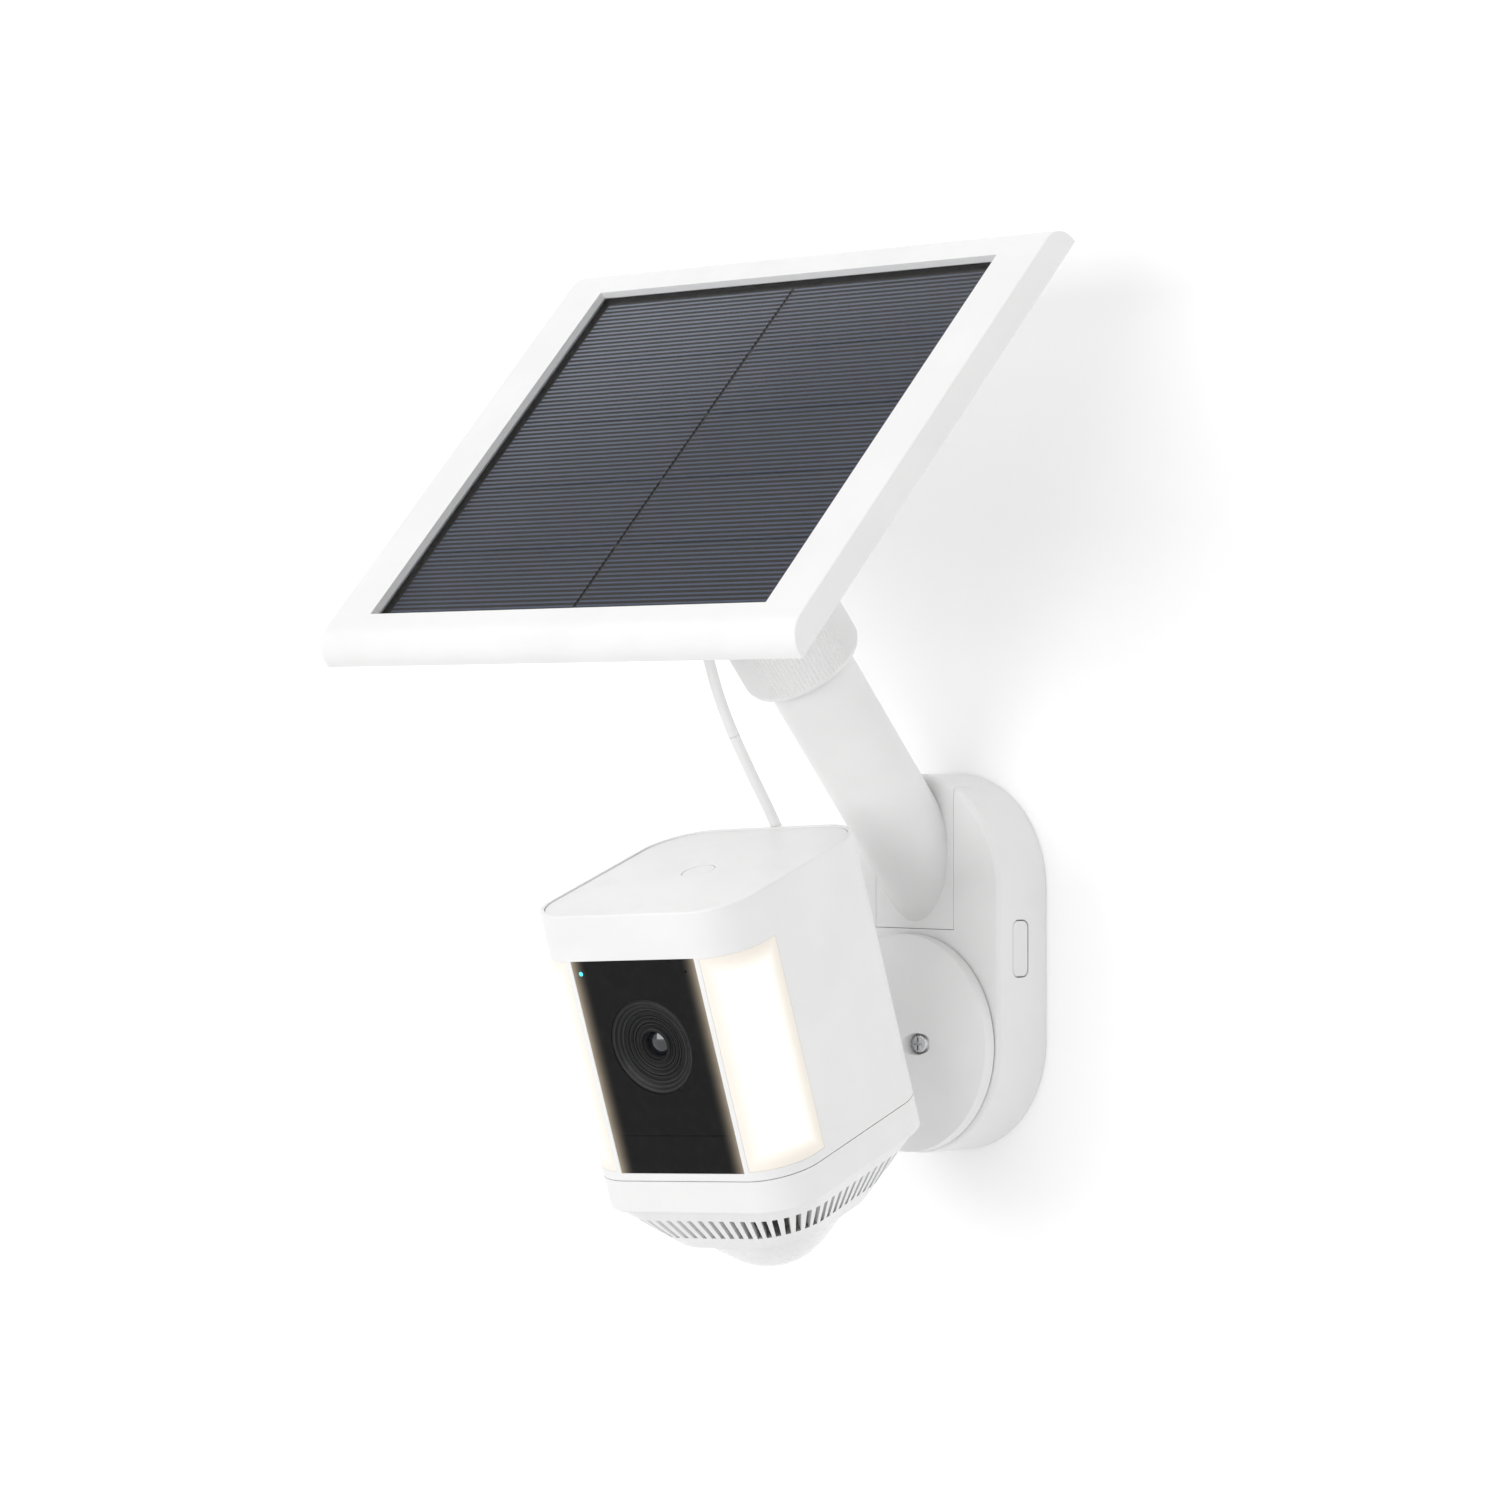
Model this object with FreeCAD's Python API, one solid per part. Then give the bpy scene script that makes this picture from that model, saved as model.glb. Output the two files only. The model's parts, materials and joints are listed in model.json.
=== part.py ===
import FreeCAD, Part
import math
import os

# Floodlight security camera with a solar panel on one wall mount. Millimetres.
# +X is to the right for someone who faces the wall, +Y points into the wall, +Z is up.
# The origin is the centre of the mount's back face, which lies on the wall.

V = FreeCAD.Vector
X, Y, Z = V(1, 0, 0), V(0, 1, 0), V(0, 0, 1)

# Wall mount
MOUNT_R = 32.1            # end radius of the stadium outline
MOUNT_END_Z = 21.1        # height of the end circles' centres above and below the origin
MOUNT_DEPTH = 19.2
MOUNT_WALL = 2.2
MOUNT_EDGE_R = 1.6
BRACKET_T = 2.0
WALL_HOLE_R = 2.4
WALL_HOLE_X = 18.0        # half the spacing of the wall screws
WALL_HOLE_Z = 33.0
TAB_W, TAB_H, TAB_R = 6.2, 15.5, 2.0
TAB_Y, TAB_Z = -10.4, 4.8
TAB_GAP = 0.3
TAB_INNER_X = 28.2        # inner face of the tab's flange
STOP_X = 22.0             # face of the rib that the tab's spring rests on
SPRING_PLAY = 0.02        # gap at each end of a spring
SPRING_WIRE_R = 0.3

# Turning base with its ball seat
BASE_Z = -22.16
BASE_R = 30.5
BASE_GAP = 0.45           # shadow gap between the base and the housing
BASE_RIM_Y = -23.7
SPIGOT_Y = -16.3          # inner end of the base's spigot, just behind the housing's front plate
BALL_Y = -44.75
BALL_R = 8.5
CUP_R = 12.0
FIT = 0.05                # radial clearance of running fits
LINER_T = 1.6
LOCK_SCREW = V(17.0, 0, -21.2)
LOCK_SEAT_Y = -34.2       # floor of the lock screw's pocket
LOCK_HEAD_Y = -36.1       # outer face of the lock screw's head
RETAINER_SCREW_CIRCLE = 11.5

# Solar arm
ARM_ROOT_Z = 31.3
ARM_LEAN = 40.26          # degrees from the vertical, away from the wall
ARM_R = 12.6
ARM_BORE_R = 10.2
FOOT_HALF_W = 14.8
FOOT_LOW_Z = 9.9
SEAM = 0.15
NUT_R = 17.2
NUT_START, NUT_END = 67.5, 102.0
NUT_RIBS = 90
NUT_RIB_DEPTH = 0.45
PIVOT_S = 121.0           # distance of the panel's ball from the housing face, along the arm

# Solar panel
PANEL_SLOPE = 47.27       # degrees from the horizontal
PANEL_W, PANEL_H, PANEL_T = 182.0, 151.0, 8.0
PANEL_NOSE_R = 7.6
OPEN_W, OPEN_H = 151.7, 126.7
GLASS_RECESS = 2.2
GLASS_T = 1.2
CELL_COLUMNS, CELL_ROWS = 2, 5
CELL_BORDER = 1.7         # from the opening's edge to the first cell
CELL_GAP_X, CELL_GAP_Y = 1.3, 1.1
BACK_T = 2.0              # depth of the hollow for the back plate
STUD_FLANGE_T = 2.6
STUD_SCREW_CIRCLE = 8.4
PANEL_RISE = 24.0         # from the ball's centre to the panel's top face
PANEL_UP = 4.8            # the panel's centre lies this far up-slope from the ball
STUD_R = 12.0
LEAD_R = 1.5
LEAD_OUT = 25.0           # the lead leaves this far down-slope from the panel's centre

# Camera head
HEAD_TILT, HEAD_PAN = 18.22, 8.55
HEAD_W, HEAD_D = 69.0, 71.5
HEAD_FRONT_R, HEAD_BACK_R = 14.0, 16.0
HEAD_WALL = 2.2
FRONT = -HEAD_D / 2       # the head's front face
COVER_TOP, BAND_LOW = -74.84, -84.24
VENT_LOW = -98.0
VENT_CENTRE_Y = -3.0
VENT_HALF, VENT_R = 22.9, 15.0
VENT_STEP = 1.1
SLOT_TOP, SLOT_LOW, SLOT_W, SLOT_PITCH = -87.5, -94.2, 1.5, 3.15
DOME_R, DOME_LOW = 21.6, -111.0
RIM = 1.35
TOP_DROP = 0.35
BUTTON_R, BUTTON_TRAVEL = 4.6, 0.7
BUTTON_FLANGE_LOW = -3.8
BUTTON_SPRING_R, BUTTON_SPRING_TURNS = 3.0, 3.5
BOARD_TOP = -8.0          # top face of the board under the button
WINDOW_HALF_W, WINDOW_TOP, WINDOW_LOW = 20.5, -12.7, -72.65
WINDOW_SPLIT = -61.97
LENS_Z = -37.0
LENS_RING_R, LENS_DISC_R, BARREL_R, GLASS_R = 13.25, 9.9, 4.74, 3.53
LIGHT_X, LIGHT_BACK_Y, LIGHT_TOP, LIGHT_LOW = 22.0, -17.85, -12.95, -72.2
LED = (-18.0, -16.25, 0.65)
MIC = (16.85, -16.26, 0.4)
NECK_R = 4.5
BALL_BACK, BALL_DOWN = 48.0, -68.5   # the ball's centre, from the head's top centre
PORT_Z, PORT_R = -46.0, 4.9
PLUG_Y = 41.4             # axis of the plug's upright body
BAY_FRONT_Y, BAY_BACK_Y, BAY_WALL = -13.2, 31.2, 0.9
PACK_W, PACK_H = 23.7, 61.5

WRITTEN = {}


def unit(angle):
    a = math.radians(angle)
    return math.cos(a), math.sin(a)


def box(x0, x1, y0, y1, z0, z1):
    return Part.makeBox(x1 - x0, y1 - y0, z1 - z0, V(x0, y0, z0))


def rod(r, start, end):
    return Part.makeCylinder(r, (end - start).Length, start, end - start)


def tube(r_out, r_in, start, end):
    return rod(r_out, start, end).cut(rod(r_in, start, end))


def fuse(shapes):
    out = shapes[0]
    for s in shapes[1:]:
        out = out.fuse(s)
    return out.removeSplitter()


def turned(points, axis_point, axis):
    """A solid of revolution from a closed outline of points in a plane that holds the axis."""
    wire = Part.makePolygon(points + [points[0]])
    return Part.Face(wire).revolve(axis_point, axis, 360)


def rounded_edges(shape, r, keep):
    """Rounds the edges for which keep(edge) is true."""
    chosen = [e for e in shape.Edges if keep(e)]
    return shape.makeFillet(r, chosen) if chosen else shape


def edge_lies(edge, axis, value, tolerance=0.02):
    box_ = edge.BoundBox
    low = (box_.XMin, box_.YMin, box_.ZMin)[axis]
    high = (box_.XMax, box_.YMax, box_.ZMax)[axis]
    return abs(low - value) < tolerance and abs(high - value) < tolerance


def outline(half_x, y_front, y_back, r_front, r_back, z):
    """A rectangle with rounded corners in the plane z, with its own radii at front and back."""
    h = math.sqrt(0.5)
    wire = []
    corners = [
        (half_x - r_back, y_back - r_back, r_back, 1, 1),
        (-half_x + r_back, y_back - r_back, r_back, -1, 1),
        (-half_x + r_front, y_front + r_front, r_front, -1, -1),
        (half_x - r_front, y_front + r_front, r_front, 1, -1),
    ]
    ends = []
    for cx, cy, r, sx, sy in corners:
        on_x, on_y = V(cx + sx * r, cy, z), V(cx, cy + sy * r, z)
        middle = V(cx + sx * r * h, cy + sy * r * h, z)
        first, last = (on_x, on_y) if sx * sy > 0 else (on_y, on_x)
        ends.append((first, middle, last))
    for i, (first, middle, last) in enumerate(ends):
        wire.append(Part.Arc(first, middle, last).toShape())
        wire.append(Part.LineSegment(last, ends[(i + 1) % 4][0]).toShape())
    return Part.Wire(wire)


def prism(half_x, y_front, y_back, r_front, r_back, z0, z1):
    face = Part.Face(outline(half_x, y_front, y_back, r_front, r_back, z0))
    return face.extrude(V(0, 0, z1 - z0))


def head_prism(inset, z0, z1):
    """The head's rounded block, made smaller all round by inset."""
    half = HEAD_D / 2 - inset
    return prism(HEAD_W / 2 - inset, -half, half, HEAD_FRONT_R - inset, HEAD_BACK_R - inset, z0, z1)


def stadium(inset, y0, y1):
    """The mount's outline, made smaller all round by inset, from y0 to y1."""
    r = MOUNT_R - inset
    up = MOUNT_END_Z
    top = Part.Arc(V(r, y0, up), V(0, y0, up + r), V(-r, y0, up)).toShape()
    left = Part.LineSegment(V(-r, y0, up), V(-r, y0, -up)).toShape()
    low = Part.Arc(V(-r, y0, -up), V(0, y0, -up - r), V(r, y0, -up)).toShape()
    right = Part.LineSegment(V(r, y0, -up), V(r, y0, up)).toShape()
    return Part.Face(Part.Wire([top, left, low, right])).extrude(V(0, y1 - y0, 0))


# Frames of the slanted parts

HEAD_TURN = FreeCAD.Rotation(X, HEAD_TILT).multiply(FreeCAD.Rotation(Z, HEAD_PAN))
BALL = V(0, BALL_Y, BASE_Z)
HEAD_ORIGIN = BALL - HEAD_TURN.multVec(V(0, BALL_BACK, BALL_DOWN))
HEAD = FreeCAD.Placement(HEAD_ORIGIN, HEAD_TURN)

ARM = FreeCAD.Placement(V(0, -MOUNT_DEPTH, ARM_ROOT_Z), FreeCAD.Rotation(X, ARM_LEAN))
PIVOT = ARM.multVec(V(0, 0, PIVOT_S))

PANEL_TURN = FreeCAD.Rotation(X, PANEL_SLOPE)
PANEL_ORIGIN = PIVOT + PANEL_TURN.multVec(V(0, PANEL_UP, PANEL_RISE))
PANEL = FreeCAD.Placement(PANEL_ORIGIN, PANEL_TURN)


def moved(shape, placement):
    out = shape.copy()
    out.Placement = placement.multiply(out.Placement)
    return out


def write(name, shape, placement=None):
    """Writes one node. A list of solids becomes one node of separate solids."""
    if isinstance(shape, list):
        shape = Part.makeCompound(shape)
    if placement is not None:
        shape = moved(shape, placement)
    bad = [s for s in shape.Solids if not s.isValid() or s.Volume <= 0]
    print(name, "solids", len(shape.Solids), "volume", round(shape.Volume, 1), "BAD" if bad else "ok")
    shape.exportStep("parts/" + name + ".step")
    WRITTEN[name] = shape


# Wall mount

def wall_points():
    return [V(sx * WALL_HOLE_X, 0, sz * WALL_HOLE_Z) for sx in (-1, 1) for sz in (-1, 1)]


def wall_bracket():
    """Steel plate against the wall, with four screw holes, and two lugs for the arm's foot."""
    plate = stadium(MOUNT_WALL + 0.3, -BRACKET_T, 0)
    for p in wall_points():
        plate = plate.cut(rod(WALL_HOLE_R, p - Y * 5, p + Y))
    lugs = []
    for side in (-1, 1):
        x = side * 8.0
        lugs.append(box(x - 3, x + 3, -6.0, -BRACKET_T, 24, 34))
    return fuse([plate] + lugs)


def foot_block(clearance):
    """The space that the arm's foot takes in the housing."""
    w = FOOT_HALF_W + clearance
    return box(-w, w, -MOUNT_DEPTH - 1, -MOUNT_DEPTH + 8.0, FOOT_LOW_Z - clearance, 60)


def mount_housing():
    outer = stadium(0, -MOUNT_DEPTH, 0)
    outer = rounded_edges(outer, MOUNT_EDGE_R, lambda e: edge_lies(e, 1, -MOUNT_DEPTH))
    shell = outer.cut(stadium(MOUNT_WALL, -MOUNT_DEPTH + 2.5, 1))
    shell = shell.cut(foot_block(SEAM))
    shell = shell.cut(rod(14.3, V(0, -MOUNT_DEPTH - 1, BASE_Z), V(0, -10, BASE_Z)))
    for side in (-1, 1):
        shell = shell.cut(tab_block(side, TAB_GAP, 29, 34))
    return shell


def tab_block(side, clearance, x0, x1):
    """A rounded upright bar that passes through the housing's side wall."""
    half_y, half_z = TAB_W / 2 + clearance, TAB_H / 2 + clearance
    bar = box(x0, x1, TAB_Y - half_y, TAB_Y + half_y, TAB_Z - half_z, TAB_Z + half_z)
    r = TAB_R + clearance
    bar = rounded_edges(bar, r, lambda e: e.BoundBox.XLength > x1 - x0 - 0.01)
    if side < 0:
        bar = bar.mirror(V(0, 0, 0), X)
    return bar


def release_tab(side):
    """Sprung side tab: a bar in the side wall with a wider flange behind it."""
    face = tab_block(1, 0, TAB_INNER_X + 0.5, MOUNT_R - 0.1)
    face = rounded_edges(face, 0.4, lambda e: edge_lies(e, 0, MOUNT_R - 0.1))
    x1 = MOUNT_R - MOUNT_WALL - TAB_GAP
    flange = box(TAB_INNER_X, x1, TAB_Y - 4.0, TAB_Y + 4.0, TAB_Z - 9.0, TAB_Z + 9.0)
    pin = rod(1.2, V(TAB_INNER_X - 1.8, TAB_Y, TAB_Z), V(TAB_INNER_X + 0.1, TAB_Y, TAB_Z))
    out = fuse([face, flange, pin])
    return out if side > 0 else out.mirror(V(0, 0, 0), X)


def coil(radius, wire_r, length, turns, placement):
    """A coil spring along the placement's z axis, of the given overall length."""
    rise = length - 2.4 * wire_r
    helix = Part.makeHelix(rise / turns, rise, radius)
    profile = Part.Wire(Part.Circle(V(radius, 0, 0), Y, wire_r).toShape())
    solid = Part.Wire(helix.Edges).makePipeShell([profile], True, True)
    solid.translate(V(0, 0, 1.2 * wire_r))
    return moved(solid, placement)


def tab_spring(side):
    """Spring between a tab's flange and the rib behind it."""
    turn = FreeCAD.Rotation(Z, V(side, 0, 0))
    place = FreeCAD.Placement(V(side * (STOP_X + SPRING_PLAY), TAB_Y, TAB_Z), turn)
    return coil(2.4, SPRING_WIRE_R, TAB_INNER_X - STOP_X - 2 * SPRING_PLAY, 4.5, place)


def tab_stops():
    """Two ribs inside the housing that the tab springs rest on."""
    out = []
    for side in (-1, 1):
        x0, x1 = sorted((side * (STOP_X - 2), side * STOP_X))
        out.append(box(x0, x1, -MOUNT_DEPTH + 2.5, -BRACKET_T - 0.1, TAB_Z - 4.5, TAB_Z + 4.5))
    return out


# Turning base

def cone_profile():
    """Outline of the turning base in the plane x = 0 on the side +z of its axis: (radius, y)."""
    half = 0.35
    gap = -MOUNT_DEPTH - BASE_GAP
    return [
        (9.0, SPIGOT_Y), (14.0, SPIGOT_Y), (14.0, gap), (BASE_R, gap), (BASE_R, BASE_RIM_Y + half),
        (BASE_R - half, BASE_RIM_Y), (CUP_R + 1.2, BASE_RIM_Y - BASE_R + CUP_R + 1.5),
        (CUP_R, BASE_RIM_Y - BASE_R + CUP_R), (CUP_R, BALL_Y - 1.6), (CUP_R - 0.4, BALL_Y - 2.0),
        (0.0, BALL_Y - 2.0), (0.0, -30.0), (9.0, -26.0),
    ]


def swivel_base():
    points = [V(0, y, BASE_Z + r) for r, y in cone_profile()]
    body = turned(points, V(0, 0, BASE_Z), Y)
    body = body.cut(Part.makeSphere(BALL_R + FIT + LINER_T + FIT, BALL))
    p = LOCK_SCREW
    body = body.cut(rod(3.0, V(p.x, -60, p.z), V(p.x, LOCK_SEAT_Y, p.z)))
    body = body.cut(rod(1.3, V(p.x, -36, p.z), V(p.x, -27, p.z)))
    for p in base_screw_points():
        body = body.cut(rod(1.1, p - Y * 4, p + Y))
    return body


def security_screw():
    """Cross-recess screw in the turning base."""
    p = LOCK_SCREW
    head = rod(2.5, V(p.x, LOCK_HEAD_Y, p.z), V(p.x, LOCK_SEAT_Y, p.z))
    head = rounded_edges(head, 0.7, lambda e: edge_lies(e, 1, LOCK_HEAD_Y))
    for half_x, half_z in ((1.7, 0.35), (0.35, 1.7)):
        head = head.cut(box(p.x - half_x, p.x + half_x, LOCK_HEAD_Y - 0.1, LOCK_HEAD_Y + 0.9,
                            p.z - half_z, p.z + half_z))
    return fuse([head, rod(1.3, V(p.x, LOCK_SEAT_Y, p.z), V(p.x, -28, p.z))])


def base_screw_points():
    r = RETAINER_SCREW_CIRCLE
    return [V(r * c, SPIGOT_Y, BASE_Z + r * s) for c, s in map(unit, (90, 210, 330))]


def base_retainer():
    """Ring that holds the turning base's spigot behind the housing's face."""
    ring = tube(18.0, 6.3, V(0, SPIGOT_Y + 0.02, BASE_Z), V(0, SPIGOT_Y + 2.2, BASE_Z))
    for p in base_screw_points():
        ring = ring.cut(rod(1.1, p - Y * 5, p + Y * 5))
    return ring


def base_screws():
    """Three screws that hold the retainer ring to the spigot."""
    return [small_screw(p + Y * 2.22, Y * -1, 2.2, 1.05, 1.3, 5.5) for p in base_screw_points()]


def ball_liner(centre, axis):
    """Split cup round a ball, between two planes square to the axis."""
    shell = Part.makeSphere(BALL_R + FIT + LINER_T, centre)
    shell = shell.cut(Part.makeSphere(BALL_R + FIT, centre))
    return shell.common(rod(20, centre - axis * 5.5, centre + axis * 1.9))


# Solar arm, in the arm's own frame where z runs up the tube

def solar_arm():
    """The foot that slides into the housing, the slanted tube and the ball cup at its top."""
    foot = stadium(0, -MOUNT_DEPTH, 0)
    foot = rounded_edges(foot, MOUNT_EDGE_R, lambda e: edge_lies(e, 1, -MOUNT_DEPTH))
    foot = foot.common(foot_block(0))
    body = moved(rod(ARM_R, V(0, 0, -18), V(0, 0, PIVOT_S - 20)), ARM)
    body = body.cut(box(-40, 40, -MOUNT_DEPTH + 6, 60, -60, 90))
    body = body.cut(box(-40, 40, -MOUNT_DEPTH, 60, -60, FOOT_LOW_Z + 0.1))
    cup = [
        (0, PIVOT_S - 20), (ARM_R, PIVOT_S - 20), (ARM_R + 0.9, PIVOT_S - 17),
        (ARM_R + 0.9, PIVOT_S - 6), (ARM_R - 0.4, PIVOT_S + 1.5), (ARM_R - 0.8, PIVOT_S + 1.9),
        (0, PIVOT_S + 1.9),
    ]
    cup = turned([V(r, 0, s) for r, s in cup], V(0, 0, 0), Z)
    out = fuse([foot, body, moved(cup, ARM)])
    bore = rod(ARM_BORE_R - 2, V(0, 0, 2), V(0, 0, PIVOT_S - 16))
    cavity = Part.makeSphere(BALL_R + FIT + LINER_T + FIT, V(0, 0, PIVOT_S))
    out = out.cut(moved(bore, ARM)).cut(moved(cavity, ARM))
    for side in (-1, 1):
        out = out.cut(rod(1.4, V(side * 10.5, -14, 16), V(side * 10.5, -11, 16)))
    return out


def arm_screws():
    """Two screws that fix the foot to the housing from behind."""
    out = []
    for side in (-1, 1):
        at = V(side * 10.5, 0, 16)
        out.append(fuse([rod(1.4, at - Y * 13.5, at - Y * 11.2), rod(2.8, at - Y * 11.2, at - Y * 9.4)]))
    return out


def collar_nut():
    """Ribbed nut that clamps the ball cup: an outline of small ribs, bored and rounded."""
    points = []
    for i in range(2 * NUT_RIBS):
        c, s = unit(180.0 * i / NUT_RIBS)
        r = NUT_R - (NUT_RIB_DEPTH if i % 2 else 0)
        points.append(V(r * c, r * s, NUT_START))
    ribbed = Part.Face(Part.makePolygon(points + [points[0]])).extrude(V(0, 0, NUT_END - NUT_START))
    low, high, bore = NUT_START, NUT_END, ARM_R + 0.3
    shape = [(bore, low + 0.4), (bore + 0.4, low), (NUT_R - 2.8, low), (NUT_R - 0.9, low + 0.9),
             (NUT_R, low + 2.8), (NUT_R, high - 1.0), (NUT_R - 1.0, high), (ARM_R + 1.3, high),
             (ARM_R + 1.3, PIVOT_S - 20.5), (bore, PIVOT_S - 21.5)]
    return ribbed.common(turned([V(r, 0, s) for r, s in shape], V(0, 0, 0), Z))


# Solar panel, in the panel's own frame: the top face is z = 0

def panel_blank(low):
    """The panel's outer block down to low, with its front and back edges rounded over."""
    half_w, half_h, top = PANEL_W / 2, PANEL_H / 2, 0
    r = PANEL_NOSE_R
    h = math.sqrt(0.5)
    front = Part.Arc(V(-half_w, -half_h, top - r), V(-half_w, -half_h + r - r * h, top - r + r * h),
                     V(-half_w, -half_h + r, top)).toShape()
    back = Part.Arc(V(-half_w, half_h - r, top), V(-half_w, half_h - r + r * h, top - r + r * h),
                    V(-half_w, half_h, top - r)).toShape()
    lines = [
        (V(-half_w, -half_h + r, top), V(-half_w, half_h - r, top)),
        (V(-half_w, half_h, top - r), V(-half_w, half_h, low)),
        (V(-half_w, half_h, low), V(-half_w, -half_h, low)),
        (V(-half_w, -half_h, low), V(-half_w, -half_h, top - r)),
    ]
    edges = [front, back] + [Part.LineSegment(a, b).toShape() for a, b in lines]
    wire = Part.Wire(Part.sortEdges(edges)[0])
    return Part.Face(wire).extrude(V(2 * half_w, 0, 0))


def on_side_outline(edge):
    """True for the edges round the panel's two side faces, except the lowest one."""
    b = edge.BoundBox
    on_side = b.XLength < 0.01 and abs(abs(b.XMin) - PANEL_W / 2) < 0.01
    return on_side and b.ZMax > -PANEL_T + 0.1


def panel_frame():
    """White frame: outer block, opening, glass seat and a hollow for the back plate."""
    block = rounded_edges(panel_blank(-PANEL_T), 0.5, on_side_outline)
    w, h = OPEN_W / 2, OPEN_H / 2
    block = block.cut(box(-w, w, -h, h, -PANEL_T - 1, 1))
    seat = box(-w - 2, w + 2, -h - 2, h + 2, -PANEL_T + BACK_T, -GLASS_RECESS)
    block = block.cut(seat)
    return block.cut(box(-w - 6, w + 6, -h - 4, h + 4, -PANEL_T - 1, -PANEL_T + BACK_T))


def panel_glass():
    w, h = OPEN_W / 2 + 1.9, OPEN_H / 2 + 1.9
    return box(-w, w, -h, h, -GLASS_RECESS - GLASS_T, -GLASS_RECESS - 0.05)


def solar_cells():
    """Ten wafers in two columns, on the backsheet under the glass."""
    top = -GLASS_RECESS - GLASS_T - 0.05
    pitch_x = (OPEN_W - 2 * CELL_BORDER) / CELL_COLUMNS
    pitch_y = (OPEN_H - 2 * CELL_BORDER) / CELL_ROWS
    side_x, side_y = pitch_x - CELL_GAP_X, pitch_y - CELL_GAP_Y
    out = []
    for i in range(CELL_COLUMNS):
        for j in range(CELL_ROWS):
            x = -OPEN_W / 2 + CELL_BORDER + i * pitch_x + CELL_GAP_X / 2
            y = -OPEN_H / 2 + CELL_BORDER + j * pitch_y + CELL_GAP_Y / 2
            out.append(box(x, x + side_x, y, y + side_y, top - 0.3, top))
    return out


def cell_backsheet():
    w, h = OPEN_W / 2 + CELL_BORDER, OPEN_H / 2 + CELL_BORDER
    return box(-w, w, -h, h, -PANEL_T + 2.1, -GLASS_RECESS - GLASS_T - 0.4)


def panel_back():
    """Back plate in the frame's hollow, with the seat of the ball stud and the lead's hole."""
    w, h = OPEN_W / 2 + 5.7, OPEN_H / 2 + 3.7
    plate = box(-w, w, -h, h, -PANEL_T, -PANEL_T + BACK_T - 0.05)
    plate = rounded_edges(plate, 2.0, lambda e: e.BoundBox.ZLength > 1.0)
    rings = [rod(3.4, V(0, -LEAD_OUT, -PANEL_T - 1), V(0, -LEAD_OUT, 0))]
    for p in back_screw_points() + stud_screw_points():
        rings.append(rod(1.3, p - Z * 3, p + Z * 4))
    return plate.cut(Part.makeCompound(rings))


def back_screw_points():
    x, y = OPEN_W / 2 + 1.5, OPEN_H / 2 + 0.2
    return [V(sx * x, sy * y, -PANEL_T) for sx in (-1, 0, 1) for sy in (-1, 1)]


def stud_screw_points():
    r = STUD_SCREW_CIRCLE
    return [V(r * c, -PANEL_UP + r * s, -PANEL_T) for c, s in map(unit, (45, 135, 225, 315))]


def small_screw(at, up, r_head=2.3, r_shank=1.2, head=1.3, shank=1.8):
    """A screw whose head stands on the point at, and whose shank runs along up."""
    return fuse([rod(r_head, at - up * head, at), rod(r_shank, at - up * 0.1, at + up * shank)])


def panel_ball():
    """Ball, neck and flange that carry the panel."""
    centre = V(0, -PANEL_UP, -PANEL_RISE)
    at = V(0, -PANEL_UP, -PANEL_T)
    flange = rod(STUD_R, at - Z * STUD_FLANGE_T, at)
    flange = rounded_edges(flange, 0.9, lambda e: edge_lies(e, 2, at.z - STUD_FLANGE_T))
    neck = Part.makeCone(NECK_R, NECK_R + 1.8, PANEL_RISE - PANEL_T - 2, centre, Z)
    out = fuse([Part.makeSphere(BALL_R, centre), neck, flange])
    for p in stud_screw_points():
        out = out.cut(rod(1.3, p - Z * 3, p + Z))
    return out


def stud_screws():
    return [small_screw(p - Z * STUD_FLANGE_T, Z, 1.9, 1.2, 1.1, 4.4) for p in stud_screw_points()]


def junction_board():
    """Small board inside the panel where the lead starts."""
    return box(-9, 9, -LEAD_OUT - 5, -LEAD_OUT + 5, -PANEL_T + 1.96, -PANEL_T + 2.08)


def lead_grommet():
    """Tapered strain relief where the lead leaves the panel's back."""
    at = V(0, -LEAD_OUT, -PANEL_T)
    sleeve = Part.makeCone(LEAD_R + 1.6, LEAD_R + 0.5, 6.4, at - Z * 0.6, V(0, 0, -1))
    collar = rod(4.6, at - Z * 1.2, at)
    plug = rod(3.3, at, at + Z * 1.9)
    return fuse([collar, sleeve, plug])


# The lead: its route is in the object's own frame, from the panel to the head's plug

LEAD_ROUTE = [V(x, y, z) for x, y, z in (
    (0, -117.71, 114.9),
    (0, -108.9, 106.76),
    (-0.2, -101.6, 88.4),
    (-0.5, -95.0, 71.6),
    (-1.2, -84.2, 55.4),
    (-1.7, -73.2, 40.4),
    (0.97, -67.0, 24.8),
    (0.97, -62.9, 12.4),
)]


def route_path(points):
    """Straight runs joined by tangent arcs, each as large as its two runs allow."""
    edges = []
    start = points[0]
    radii = []
    for before, corner, after in zip(points, points[1:], points[2:]):
        a, b = (before - corner), (after - corner)
        run = min(a.Length, b.Length)
        turn = math.pi - a.getAngle(b)
        radii.append(0.45 * run / math.tan(turn / 2))
        back = 0.45 * run
        a.normalize()
        b.normalize()
        first, last = corner + a * back, corner + b * back
        centre_line = (a + b)
        centre_line.normalize()
        reach = radii[-1] / math.cos(turn / 2) - radii[-1]
        middle = corner + centre_line * reach
        edges.append(Part.LineSegment(start, first).toShape())
        edges.append(Part.Arc(first, middle, last).toShape())
        start = last
    edges.append(Part.LineSegment(start, points[-1]).toShape())
    print("lead radii", [round(r, 1) for r in radii])
    return Part.Wire(edges)


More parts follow.
